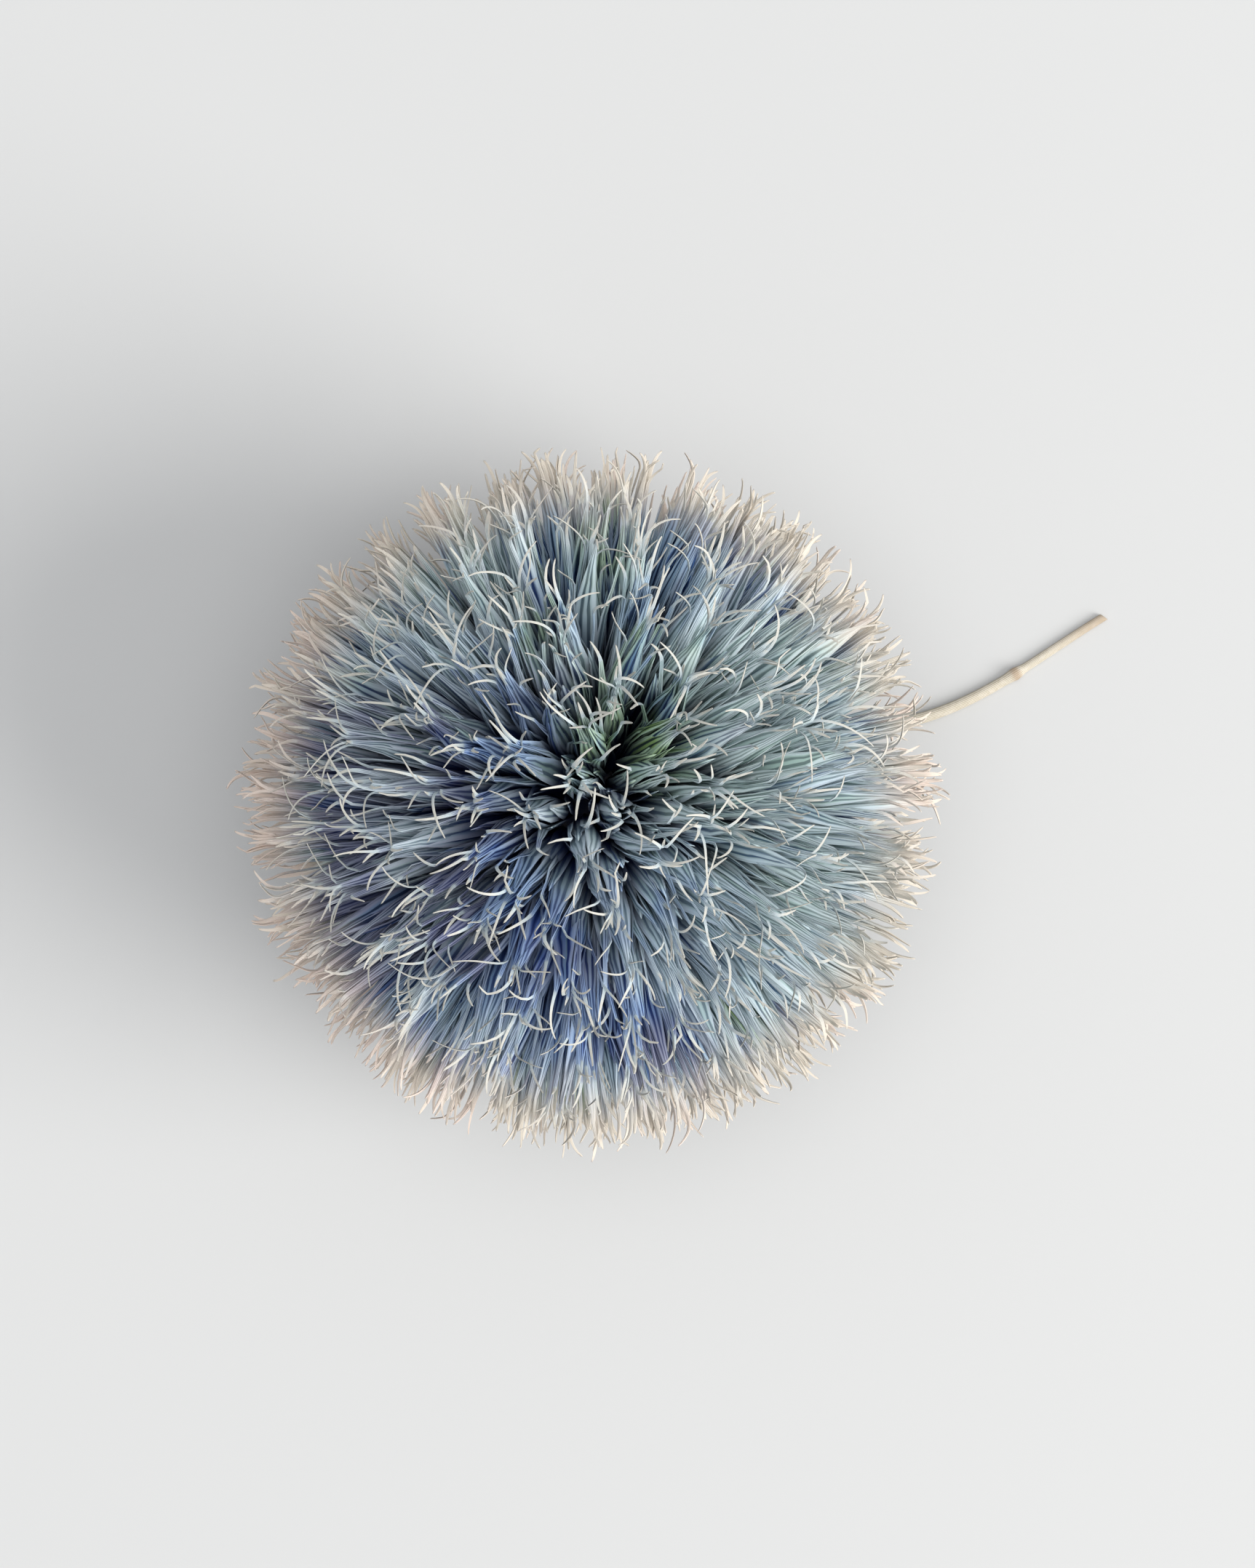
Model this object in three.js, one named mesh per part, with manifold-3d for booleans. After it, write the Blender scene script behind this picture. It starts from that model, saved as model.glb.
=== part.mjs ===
// A globe thistle flower head with its cut stem, as it lies on a table.
//
// Units are millimetres, +Z is up. The origin is on the surface it lies on, straight under the
// centre of the head, where the lowest floret is pressed flat. Florets stand out of a ball-shaped
// receptacle in every direction, and each one is a slender spindle that ends in two awns. The stem
// leaves the receptacle slanting down, clears the florets and then lies along the surface.

import * as THREE from "three";
import { ConvexHull } from "three/addons/math/ConvexHull.js";
import { mergeVertices } from "three/addons/utils/BufferGeometryUtils.js";
import Module from "manifold-3d";

// Driving dimensions of the head
const HEAD_RADIUS = 22.5; // centre of the head to the awn tips
const CENTRE_HEIGHT = 19.4; // centre of the head above the surface, with its lowest florets pressed in
const FLORET_COUNT = 420;
const FLORET_SIDES = 4;

// One floret, measured outwards from the centre of the head
const ROOT_REACH = 8; // on the skin of the receptacle
const ROOT_HALF_WIDTH = 0.42;
const BELLY_REACH = 15;
const BELLY_HALF_WIDTH = 1.12;
const SHOULDER_REACH = 18.6;
const SHOULDER_HALF_WIDTH = 0.5;
const BELLY_KEPT = 0.5; // share of the belly's reach that stays the same however short a floret is
const AWN_SPREAD = 1.3; // sideways, from the floret's own line to an awn's tip
const AWN_SPREAD_VARIATION = 0.35; // share of an awn's spread, either way
const AWN_SWING = 0.6; // radians round the floret's line that an awn's tip is off its place, either way
const AWN_SHORTFALL = 0.05; // most that an awn's tip falls short of the head's radius, as a share of it
const LENGTH_VARIATION = 0.045; // share of a floret's length, either way
const LEAN = 0.3; // how far a shoulder stands off the floret's line
const WANDER = 0.1; // how far a floret stands off its place on the spiral, as a share of the spacing

// Where florets meet the surface or the stem
const PRESSED_ANGLE = 15; // degrees from straight down: these florets end blunt on the surface
const PRESSED_REACH = 20.8;
const BARE_ROUND_STEM = 2; // places of the spiral nearest the stem that hold no floret
const SHORT_ROUND_STEM = 24; // degrees from the stem, inside which florets get shorter
const SHORTEST = 0.72;

// The stem
const STEM_AZIMUTH = 14; // degrees round from +X
const STEM_DROOP = 45; // degrees below level, where it leaves the head
const SEAT_REACH = 7.95;
const SEAT_HALF_WIDTH = 0.65;
const SEAT_GAP = 0.32;
const STEM_STRAIGHT_TO = 22.5; // from the centre of the head
const STEM_END = new THREE.Vector2(35.6, 12.8);
const STEM_END_HEADING = 31; // degrees round from +X
const STEM_TOP_RADIUS = 0.5;
const STEM_CUT_RADIUS = 0.32;
const STEM_JOINT_AT = 0.8; // share of the stem's length
const STEM_JOINT_SWELL = 0.14;
const STEM_JOINT_LENGTH = 0.02; // share of the stem's length
const STEM_SIDES = 10;
const STEM_STEPS = 44;

// Finish of the solids
const HEAD_COLOUR = 0x8fa5bd;
const HEAD_ROUGHNESS = 0.8;
const STEM_COLOUR = 0xcfc4b4;
const STEM_ROUGHNESS = 0.75;

const STEEP = 0.9; // height of a unit direction that counts as straight up or down
const SAME_POINT = 1e-4;
const GOLDEN_ANGLE = Math.PI * (3 - Math.sqrt(5));
const radians = THREE.MathUtils.degToRad;
const centre = new THREE.Vector3(0, 0, CENTRE_HEIGHT);
const down = new THREE.Vector3(0, 0, -1);

// A repeatable draw from 0 to 1: the same for the same floret and the same use.
function chance(floret, use) {
  const wave = Math.sin(floret * 12.9898 + use * 78.233) * 43758.5453;
  return wave - Math.floor(wave);
}

const either = (floret, use) => 2 * chance(floret, use) - 1;

function heading(degrees) {
  return new THREE.Vector3(Math.cos(radians(degrees)), Math.sin(radians(degrees)), 0);
}

const stemAxis = heading(STEM_AZIMUTH)
  .multiplyScalar(Math.cos(radians(STEM_DROOP)))
  .addScaledVector(down, Math.sin(radians(STEM_DROOP)));

const stemPoint = (reach) => centre.clone().addScaledVector(stemAxis, reach);

// Two directions square to each other and to the given one.
function squareTo(direction, towards) {
  const u = towards.clone().addScaledVector(direction, -towards.dot(direction)).normalize();
  return [u, new THREE.Vector3().crossVectors(direction, u)];
}

const squareToFloret = (direction) =>
  squareTo(direction, Math.abs(direction.z) < STEEP ? down : heading(0));

// Directions of the florets: a spiral wound round the stem, with one floret straight down.
function floretDirections() {
  const [u, v] = squareTo(stemAxis, down);
  const lowest = Math.round(
    (FLORET_COUNT * (1 - stemAxis.dot(down))) / 2 - 0.5,
  );
  const spacing = Math.sqrt((4 * Math.PI) / FLORET_COUNT);
  const found = [];
  for (let i = BARE_ROUND_STEM; i < FLORET_COUNT; i++) {
    const along = 1 - (2 * (i + 0.5)) / FLORET_COUNT;
    const across = Math.sqrt(1 - along * along);
    const turn = (i - lowest) * GOLDEN_ANGLE;
    const direction = new THREE.Vector3()
      .addScaledVector(u, across * Math.cos(turn))
      .addScaledVector(v, across * Math.sin(turn))
      .addScaledVector(stemAxis, along);
    const [a, b] = squareToFloret(direction);
    if (i === lowest) {
      direction.copy(down);
    } else {
      direction.addScaledVector(a, WANDER * spacing * either(i, 1));
      direction.addScaledVector(b, WANDER * spacing * either(i, 2)).normalize();
    }
    found.push({ number: i, direction });
  }
  return found;
}

function ring(middle, halfWidth, u, v, sides, turn) {
  const points = [];
  for (let j = 0; j < sides; j++) {
    const angle = turn + (2 * Math.PI * j) / sides;
    points.push(
      middle.clone()
        .addScaledVector(u, halfWidth * Math.cos(angle))
        .addScaledVector(v, halfWidth * Math.sin(angle)),
    );
  }
  return points;
}

// Surfaces are lists of points, three to a triangle. Rings run counter-clockwise as seen from
// outside, or from their far end.
function band(lower, upper) {
  return lower.flatMap((point, j) => {
    const next = (j + 1) % lower.length;
    return [point, lower[next], upper[next], point, upper[next], upper[j]];
  });
}

function spike(corners, tip) {
  return corners.flatMap((point, j) => [point, corners[(j + 1) % corners.length], tip]);
}

function cap(corners) {
  return corners.slice(2).flatMap((point, j) => [corners[0], corners[j + 1], point]);
}

// How much of its full length a floret has, with those round the stem the shortest.
function lengthShare(number, direction) {
  const fromStem = THREE.MathUtils.radToDeg(direction.angleTo(stemAxis));
  const short = SHORTEST + (1 - SHORTEST) * THREE.MathUtils.smoothstep(fromStem, 0, SHORT_ROUND_STEM);
  return short * (1 + LENGTH_VARIATION * either(number, 3));
}

// One floret: root, belly and shoulder rings, and two awns that stand on the halves of the shoulder.
function floret({ number, direction }) {
  const [u, v] = squareToFloret(direction);
  const turn = 2 * Math.PI * chance(number, 4);
  const share = lengthShare(number, direction);
  const pressed = direction.angleTo(down) < radians(PRESSED_ANGLE);
  const shoulderReach = pressed ? PRESSED_REACH : SHOULDER_REACH * share;
  const lean = pressed ? 0 : LEAN;
  const leanU = lean * either(number, 5);
  const leanV = lean * either(number, 6);
  const at = (reach, sideU, sideV) =>
    centre.clone()
      .addScaledVector(direction, reach)
      .addScaledVector(u, sideU)
      .addScaledVector(v, sideV);
  const ringAt = (middle, halfWidth) => ring(middle, halfWidth, u, v, FLORET_SIDES, turn);
  const root = ringAt(at(ROOT_REACH, 0, 0), ROOT_HALF_WIDTH);
  const bellyReach = BELLY_REACH * (BELLY_KEPT + (1 - BELLY_KEPT) * share);
  const belly = ringAt(at(bellyReach, 0, 0), BELLY_HALF_WIDTH);
  const shoulder = ringAt(at(shoulderReach, leanU, leanV), SHOULDER_HALF_WIDTH);
  const tips = [1, 3].map((corner) => {
    const swing = AWN_SWING * either(number, 6 + corner);
    const away = turn + (2 * Math.PI * corner) / FLORET_SIDES + swing;
    const spread = AWN_SPREAD * (1 + AWN_SPREAD_VARIATION * either(number, 10 + corner));
    const reach = HEAD_RADIUS * share * (1 - AWN_SHORTFALL * chance(number, 14 + corner));
    return at(reach, leanU + spread * Math.cos(away), leanV + spread * Math.sin(away));
  });
  const surface = [
    ...band(root, belly),
    ...band(belly, shoulder),
    ...spike([shoulder[0], shoulder[1], shoulder[2]], tips[0]),
    ...spike([shoulder[2], shoulder[3], shoulder[0]], tips[1]),
  ];
  return { root, surface };
}

// The ball that the florets grow from: a hull over every root, left open inside each root, with a
// flat seat where the stem comes away.
function receptacle(roots) {
  const [u, v] = squareTo(stemAxis, down);
  const seat = ring(stemPoint(SEAT_REACH), SEAT_HALF_WIDTH, u, v, STEM_SIDES, 0);
  const rootOf = new Map(roots.flatMap((root) => root.map((point) => [point, root])));
  const skin = [];
  for (const face of new ConvexHull().setFromPoints([...rootOf.keys(), ...seat]).faces) {
    const corners = [face.edge, face.edge.next, face.edge.prev].map((edge) => edge.head().point);
    const root = rootOf.get(corners[0]);
    if (root === undefined || corners.some((point) => rootOf.get(point) !== root)) {
      skin.push(...corners);
    }
  }
  return skin;
}

const wasm = await Module();
wasm.setup();

function toSolid(surface) {
  const merged = mergeVertices(new THREE.BufferGeometry().setFromPoints(surface), SAME_POINT);
  return new wasm.Manifold(
    new wasm.Mesh({
      numProp: 3,
      vertProperties: merged.attributes.position.array,
      triVerts: new Uint32Array(merged.index.array),
    }),
  );
}

function toGeometry(solid) {
  const mesh = solid.getMesh();
  const geometry = new THREE.BufferGeometry()
    .setAttribute("position", new THREE.BufferAttribute(mesh.vertProperties, 3))
    .setIndex(new THREE.BufferAttribute(mesh.triVerts, 1));
  geometry.computeVertexNormals();
  return geometry;
}

// The whole head: receptacle and florets as one skin, cut off level where it lies.
function flowerHead() {
  const florets = floretDirections().map(floret);
  const skin = [...receptacle(florets.map(({ root }) => root)), ...florets.flatMap(({ surface }) => surface)];
  return toGeometry(toSolid(skin).trimByPlane([0, 0, 1], 0));
}

// The stem's line: straight out through the florets, a bend down to the surface, then along it.
function stemLine() {
  const start = stemPoint(SEAT_REACH + SEAT_GAP);
  const bendStart = stemPoint(STEM_STRAIGHT_TO);
  const corner = stemPoint((CENTRE_HEIGHT - STEM_TOP_RADIUS) / Math.sin(radians(STEM_DROOP)));
  const outward = heading(STEM_AZIMUTH);
  const bendEnd = corner.clone().addScaledVector(outward, corner.distanceTo(bendStart));
  const end = new THREE.Vector3(STEM_END.x, STEM_END.y, STEM_CUT_RADIUS);
  const third = bendEnd.distanceTo(end) / 3;
  const path = new THREE.CurvePath();
  path.add(new THREE.LineCurve3(start, bendStart));
  path.add(new THREE.QuadraticBezierCurve3(bendStart, corner, bendEnd));
  path.add(
    new THREE.CubicBezierCurve3(
      bendEnd,
      bendEnd.clone().addScaledVector(outward, third),
      end.clone().addScaledVector(heading(STEM_END_HEADING), -third),
      end,
    ),
  );
  return path;
}

function stemRadius(share) {
  const taper = THREE.MathUtils.lerp(STEM_TOP_RADIUS, STEM_CUT_RADIUS, share);
  const fromJoint = (share - STEM_JOINT_AT) / STEM_JOINT_LENGTH;
  return taper + STEM_JOINT_SWELL * Math.exp(-fromJoint * fromJoint);
}

function stem() {
  const path = stemLine();
  const frames = path.computeFrenetFrames(STEM_STEPS, false);
  const rings = [];
  for (let k = 0; k <= STEM_STEPS; k++) {
    const share = k / STEM_STEPS;
    const middle = path.getPointAt(share);
    rings.push(ring(middle, stemRadius(share), frames.normals[k], frames.binormals[k], STEM_SIDES, 0));
  }
  for (const point of rings.flat()) {
    point.z = Math.max(point.z, 0);
  }
  const skin = rings.slice(1).flatMap((upper, k) => band(rings[k], upper));
  return toGeometry(toSolid([...skin, ...cap(rings[0].toReversed()), ...cap(rings[STEM_STEPS])]));
}

function piece(name, geometry, colour, roughness) {
  const material = new THREE.MeshStandardMaterial({ color: colour, roughness, metalness: 0 });
  const mesh = new THREE.Mesh(geometry, material);
  mesh.name = name;
  return mesh;
}

const thistle = new THREE.Group();
thistle.add(piece("flower_head", flowerHead(), HEAD_COLOUR, HEAD_ROUGHNESS));
thistle.add(piece("stem", stem(), STEM_COLOUR, STEM_ROUGHNESS));

export default thistle;
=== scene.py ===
"""A dried globe thistle flower head with its cut stem, lying on a pale surface.

Every floret is a spindle of narrow ribbed bracts. Short bracts stand round it, longer ones end in pale
points or in thread-like awns, and slender ones close its tip. The florets are wound round the stem in a
golden-angle spiral, so all whorls share one set of directions. Each whorl is one piece: many copies of
one blade, bent along paths that are worked out for all copies at once.
"""

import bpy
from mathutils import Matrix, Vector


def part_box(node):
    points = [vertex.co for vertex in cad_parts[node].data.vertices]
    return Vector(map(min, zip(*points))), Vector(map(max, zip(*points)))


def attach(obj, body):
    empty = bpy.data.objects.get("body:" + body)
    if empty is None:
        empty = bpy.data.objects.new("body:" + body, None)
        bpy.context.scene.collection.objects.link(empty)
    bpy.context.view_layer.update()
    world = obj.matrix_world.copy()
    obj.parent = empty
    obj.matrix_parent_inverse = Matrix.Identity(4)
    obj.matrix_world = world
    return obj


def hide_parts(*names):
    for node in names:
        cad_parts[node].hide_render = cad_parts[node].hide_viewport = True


bl_info = {
    "name": "Globe Thistle Head",
    "version": (1, 0, 0),
    "blender": (4, 5, 0),
    "location": "3D View > Sidebar > Thistle",
    "description": "Builds a dried globe thistle flower head from whorls of awned bracts",
    "category": "Add Mesh",
}

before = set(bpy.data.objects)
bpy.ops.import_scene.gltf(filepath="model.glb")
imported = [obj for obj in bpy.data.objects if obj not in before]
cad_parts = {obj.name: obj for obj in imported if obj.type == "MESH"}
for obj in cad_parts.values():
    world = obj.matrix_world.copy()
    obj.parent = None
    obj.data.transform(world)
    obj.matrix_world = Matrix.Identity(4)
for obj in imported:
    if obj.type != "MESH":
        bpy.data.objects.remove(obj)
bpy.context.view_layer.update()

import math

import bmesh
import bpy
import numpy as np
from bpy.props import FloatProperty, FloatVectorProperty, IntProperty, PointerProperty
from mathutils import Vector

MM = 0.001
DOWN = np.array((0.0, 0.0, -1.0))

# The head's place and size, from the frame
HEAD_LOW, HEAD_HIGH = (np.array(corner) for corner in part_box("flower_head"))
HEAD_REACH = float((HEAD_HIGH - HEAD_LOW)[:2].mean()) / 2
CENTRE = np.array((0.0, 0.0, HEAD_HIGH[2] - HEAD_REACH))

# The stem's line. What lies along it is given in shares of its length
STEM_AZIMUTH = math.radians(14)
STEM_DROOP = math.radians(45)
STEM_START = 8.3 * MM
STEM_STRAIGHT_TO = 22.5 * MM
STEM_END = (35.6 * MM, 12.8 * MM)
STEM_END_HEADING = math.radians(31)
STEM_TOP_RADIUS = 0.5 * MM
STEM_CUT_RADIUS = 0.32 * MM
STEM_JOINT_AT = 0.8
STEM_JOINT_SWELL = 0.1 * MM
STEM_JOINT_LENGTH = 0.012
STEM_THINNER_BY = 0.12
STEM_THINNER_OVER = 0.02
STEM_SIDES = 20
STEM_RINGS = 110
STEM_CURVE_STEPS = 60
STEM_AXIS = np.array((
    math.cos(STEM_AZIMUTH) * math.cos(STEM_DROOP),
    math.sin(STEM_AZIMUTH) * math.cos(STEM_DROOP),
    -math.sin(STEM_DROOP),
))

# The stem's cut end: its slant and the sunk pith in rings, and its rim in stem radii
CUT_SLANT = 0.35
CUT_PITH_SUNK = 0.12
CUT_RIM = 0.3

# Florets: the angle between one and the next, the height past which DOWN can't give their first side,
# how far round the stem they are short, and the degrees from straight up at which the head's sides
# begin and end
GOLDEN_ANGLE = math.pi * (3 - math.sqrt(5))
STEEP = 0.9
SHORT_ROUND_STEM = math.radians(24)
SIDES_BEGIN = (46, 74)
SIDES_END = (100, 130)

# The pit round a floret's line, of the spacing of florets
PIT_FLOOR = 0.1
PIT_RIM = 0.5

# Bracts: where their rings and their belly are, from 0 at the root to 1 at the tip
BODY_RINGS = (0.0, 0.3, 0.5, 0.68, 0.84, 1.0)
BELLY_AT = 0.6

# A bract's cross-section. Widths and depths are shares of its own. Edges past SHARP_FROM are sharp
BRACT_SIDES = 4
ROOT_WIDTH = 0.35
KEEL_FULLEST = 0.9
KEEL_LEAST = 0.3
INNER_FACE = 0.2
SHARP_FROM = 0.9

# How much bracts differ from one another, either way
TURN_VARIES = 0.35
BELLY_VARIES = 0.25
TIP_VARIES = 0.7
WIDTH_VARIES = 0.28
WIDEST_VARIES = 0.3

# Awns: half widths at the root are in those of the awn, and angles are in radians. Awns are longer or
# kinked where a draw is above the value given, and how much an awn spreads depends on its floret
AWN_ROOT = 1.3
AWN_BLUNT_END = 0.16 * MM
AWN_LONGER_ABOVE = 0.92
AWN_LONGER = 1.5
AWN_STUB = 0.4
AWN_KINKED_ABOVE = 0.88
AWN_KINK = 0.8
AWN_TWIST = 1.2
LEAN_LEAST = 0.3
LEAN_GROWS = (-0.2, 0.55)
BEND_BACK = 0.5
AWN_BEND_POWER = 1.2
OPEN_LEAST = 0.55
OPEN_MORE = 0.75

# Awns at the head's sides are straighter, shorter, more upright and thicker
STRAIGHTER_ASIDE = 0.65
STRAIGHT_LENGTH = 0.5
STRAIGHT_LEAN = 0.6
STRAIGHT_THICKNESS = 1.5


# ---------------- numbers

class FloretDraw:
    """What a whole floret draws by chance, the same for all its whorls."""

    LENGTH = 3
    TINT = 31
    OPEN = 41
    WANDER_SIDE, WANDER_ACROSS = 107, 108
    BOW_SIDE, BOW_ACROSS = 158, 159


class Draw:
    """What a bract draws by chance, counted on from the first draw of its whorl."""

    TURN, TURN_VARIES, REACH, BELLY, TIP, STRAY, WIDTH = range(7)
    AWN_LENGTH, AWN_LONGER, AWN_LEAN, AWN_BEND, AWN_SWIRL = range(7, 12)
    AWN_KINKED, AWN_KINK_AT, AWN_KINK, AWN_TWIST = range(12, 16)
    TINT, TONE, AWN_STUB, SWAY, WIDEST, PALE = range(16, 22)


def chance(number, use):
    """A repeatable draw from 0 to 1 for each number: the same for the same number and use."""
    number_step, use_step, spread = 12.9898, 78.233, 43758.5453
    wave = np.sin(number * number_step + use * use_step) * spread
    return wave - np.floor(wave)


def either(number, use):
    """A repeatable draw from -1 to 1."""
    return 2 * chance(number, use) - 1


def smooth(low, high, value):
    """Goes smoothly from 0 to 1 as the value goes from low to high."""
    part = np.clip((value - low) / (high - low), 0, 1)
    return part * part * (3 - 2 * part)


def unit(vectors):
    return vectors / np.linalg.norm(vectors, axis=-1, keepdims=True)


def square_to(directions, wanted):
    """The directions nearest to the one wanted that are square to each of the directions."""
    wanted = np.broadcast_to(wanted, directions.shape)
    return unit(wanted - directions * (directions * wanted).sum(-1, keepdims=True))


def bezier(points, part):
    """The point at a share of a Bezier curve with any number of control points."""
    points = [np.asarray(point, dtype=float) for point in points]
    while len(points) > 1:
        points = [a + (b - a) * part for a, b in zip(points, points[1:])]
    return points[0]


# ---------------- florets

def floret_spacing(head):
    """The angle between neighbouring florets."""
    return math.sqrt(4 * math.pi / head.florets)


def floret_axes(head):
    """The number and direction of every floret, and two directions square to each."""
    place = np.arange(head.bare, head.florets)
    along = 1 - 2 * (place + 0.5) / head.florets
    lowest = round(head.florets * (1 - float(STEM_AXIS @ DOWN)) / 2 - 0.5)
    turn = (place - lowest) * GOLDEN_ANGLE
    u = square_to(STEM_AXIS[None], DOWN)[0]
    v = np.cross(STEM_AXIS, u)
    across = np.sqrt(1 - along ** 2)
    axis = (across * np.cos(turn))[:, None] * u + (across * np.sin(turn))[:, None] * v
    axis = unit(axis + along[:, None] * STEM_AXIS)
    steep = np.abs(axis[:, 2:]) > STEEP
    side = square_to(axis, np.where(steep, (1.0, 0.0, 0.0), DOWN))
    wander = head.wander * floret_spacing(head)
    axis = unit(
        axis
        + wander * either(place, FloretDraw.WANDER_SIDE)[:, None] * side
        + wander * either(place, FloretDraw.WANDER_ACROSS)[:, None] * np.cross(axis, side)
    )
    side = square_to(axis, side)
    return place, axis, side, np.cross(axis, side)


def degrees_from_top(axis):
    return np.degrees(np.arccos(np.clip(axis[:, 2], -1, 1)))


def length_share(head, axis, place):
    """How much of its full length each floret has, with those round the stem the shortest."""
    from_stem = np.arccos(np.clip(axis @ STEM_AXIS, -1, 1))
    short = head.shortest + (1 - head.shortest) * smooth(0, SHORT_ROUND_STEM, from_stem)
    from_top = degrees_from_top(axis)
    aside = smooth(*SIDES_BEGIN, from_top) * (1 - smooth(*SIDES_END, from_top))
    return short * (1 + head.uneven * either(place, FloretDraw.LENGTH)) * (1 + head.fuller * aside)


# ---------------- blades

def sharpen(bm, end):
    """Draws the end face out to a point."""
    tip = bmesh.ops.poke(bm, faces=end)["verts"]
    bmesh.ops.translate(bm, verts=tip, vec=(0, 0, 1))


def cut_across(bm, end):
    """Slants the end face, as a blade cuts it, and sinks the pith inside its rim a little."""
    for vert in end[0].verts:
        vert.co.z -= CUT_SLANT * (1 + vert.co.x)
    bmesh.ops.inset_region(bm, faces=end, thickness=CUT_RIM, depth=-CUT_PITH_SUNK)


def grow_ring(bm, end):
    """Draws the end face on by one ring, and returns the new end face."""
    grown = bmesh.ops.extrude_face_region(bm, geom=end)["geom"]
    verts = [part for part in grown if isinstance(part, bmesh.types.BMVert)]
    bmesh.ops.translate(bm, verts=verts, vec=(0, 0, 1))
    return [part for part in grown if isinstance(part, bmesh.types.BMFace)]


def turn_in_ring(place):
    """A number that puts points and faces in order, ring by ring and round each ring."""
    whole_ring, in_the_middle = 10, -4
    off_middle = place.xy.length > 0.01
    return place.z * whole_ring + (math.atan2(place.y, place.x) if off_middle else in_the_middle)


def blade_copies(name, sides, alongs, copies, finish_end=sharpen):
    """Many copies, at one place, of one closed blade.

    Its X is across and its Y through, both from -1 to 1, and its Z is the number of the ring. The UV
    map holds how far across a point is, and how far along, as listed for each ring.
    """
    pointed = finish_end is sharpen
    bm = bmesh.new()
    bmesh.ops.create_circle(bm, cap_ends=True, segments=sides, radius=1)
    end = bm.faces[:]
    for ring in range(len(alongs) - (2 if pointed else 1)):
        inside, end = end, grow_ring(bm, end)
        if ring > 0:
            bmesh.ops.delete(bm, geom=inside, context="FACES_ONLY")
    finish_end(bm, end)
    bmesh.ops.recalc_face_normals(bm, faces=bm.faces)
    if pointed:
        for edge in bm.edges:
            edge.smooth = min(abs(vert.co.x) for vert in edge.verts) < SHARP_FROM
    bm.verts.sort(key=lambda vert: turn_in_ring(vert.co))
    bm.faces.sort(key=lambda face: turn_in_ring(face.calc_center_median()))
    uv = bm.loops.layers.uv.new("UVMap")
    for face in bm.faces:
        face.smooth = True
        for loop in face.loops:
            across, _, ring = loop.vert.co
            loop[uv].uv = ((across + 1) / 2, np.interp(ring, range(len(alongs)), alongs))
    blade = new_piece(name, bm)
    one = blade.data
    row = blade.modifiers.new("Copies", "ARRAY")
    row.count = copies
    row.use_relative_offset = False
    made = bpy.data.meshes.new_from_object(blade.evaluated_get(bpy.context.evaluated_depsgraph_get()))
    blade.modifiers.clear()
    blade.data = made
    bpy.data.meshes.remove(one)
    made.name = name
    return blade


def new_piece(name, bm):
    """An object in the scene that holds the mesh that was built."""
    mesh = bpy.data.meshes.new(name)
    bm.to_mesh(mesh)
    bm.free()
    piece = bpy.data.objects.new(name, mesh)
    bpy.context.scene.collection.objects.link(piece)
    return piece


def points_of(piece):
    """The places of a piece's points, as rows of X, Y and Z."""
    numbers = np.empty(len(piece.data.vertices) * 3)
    piece.data.vertices.foreach_get("co", numbers)
    return numbers.reshape(-1, 3)


def put_points(piece, points):
    piece.data.vertices.foreach_set("co", points.ravel())
    piece.data.update()


def bend_along(blade, copies, paths, side, half_width, half_depth, hollow=1.0):
    """Moves every copy's rings onto its path. paths is copies x rings x 3, and side its first side.

    The part of a blade that faces inwards is as deep as its hollow, of the depth outwards.
    """
    template = points_of(blade).reshape(copies, -1, 3)
    rings = paths.shape[1]
    rounding = 1e-4
    below = np.clip(np.floor(template[..., 2] + rounding).astype(int), 0, rings - 2)
    part = template[..., 2] - below
    row = np.arange(copies)[:, None]

    def at(values):
        """The values between the rings below and above each point."""
        upper = part.reshape(part.shape + (1,) * (values.ndim - 2))
        return values[row, below] * (1 - upper) + values[row, below + 1] * upper

    run = np.diff(paths, axis=1)
    tangents = unit(np.concatenate((run[:, :1], run[:, :-1] + run[:, 1:], run[:, -1:]), axis=1))
    sides = np.empty_like(paths)
    sides[:, 0] = square_to(tangents[:, 0], side)
    for k in range(1, rings):
        sides[:, k] = square_to(tangents[:, k], sides[:, k - 1])
    outward = np.cross(tangents, sides)
    across = template[..., 0] * at(half_width)
    through = np.where(template[..., 1] > 0, template[..., 1], template[..., 1] * hollow) * at(half_depth)
    put_points(blade, at(paths) + across[..., None] * at(sides) + through[..., None] * at(outward))


def hold_in(points, limit=24.0 * MM, soft=2.0 * MM):
    """Bends what would stand out of the head's round outline back along it."""
    out = points - CENTRE
    far = np.linalg.norm(out, axis=-1, keepdims=True)
    over = np.maximum(far - (limit - soft), 0)
    held = np.minimum(far, limit - soft) + soft * (1 - np.exp(-over / soft))
    return CENTRE + out / far * held


def press_down(blade, height=0.9 * MM, least=0.03 * MM, spread=0.7):
    """Presses what would reach below the surface flat on it, and spreads it outwards there."""
    points = points_of(blade)
    low = points[:, 2] < height
    depth = np.where(low, height - points[:, 2], 0.0)
    pressed = least + (height - least) * np.exp(-depth / (height - least))
    points[:, 2] = np.where(low, pressed, points[:, 2])
    away = points[:, :2] / (np.linalg.norm(points[:, :2], axis=1, keepdims=True) + 1 * MM)
    points[:, :2] += away * np.maximum(depth - height, 0)[:, None] * spread
    put_points(blade, points)


def paint(blade, copies, **tones):
    """Stores one number for each copy, under its name, on all its points."""
    per_copy = len(blade.data.vertices) // copies
    for name, values in tones.items():
        layer = blade.data.attributes.new(name, "FLOAT", "POINT")
        layer.data.foreach_set("value", np.repeat(values, per_copy).astype(np.float32))


# ---------------- whorls

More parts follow.
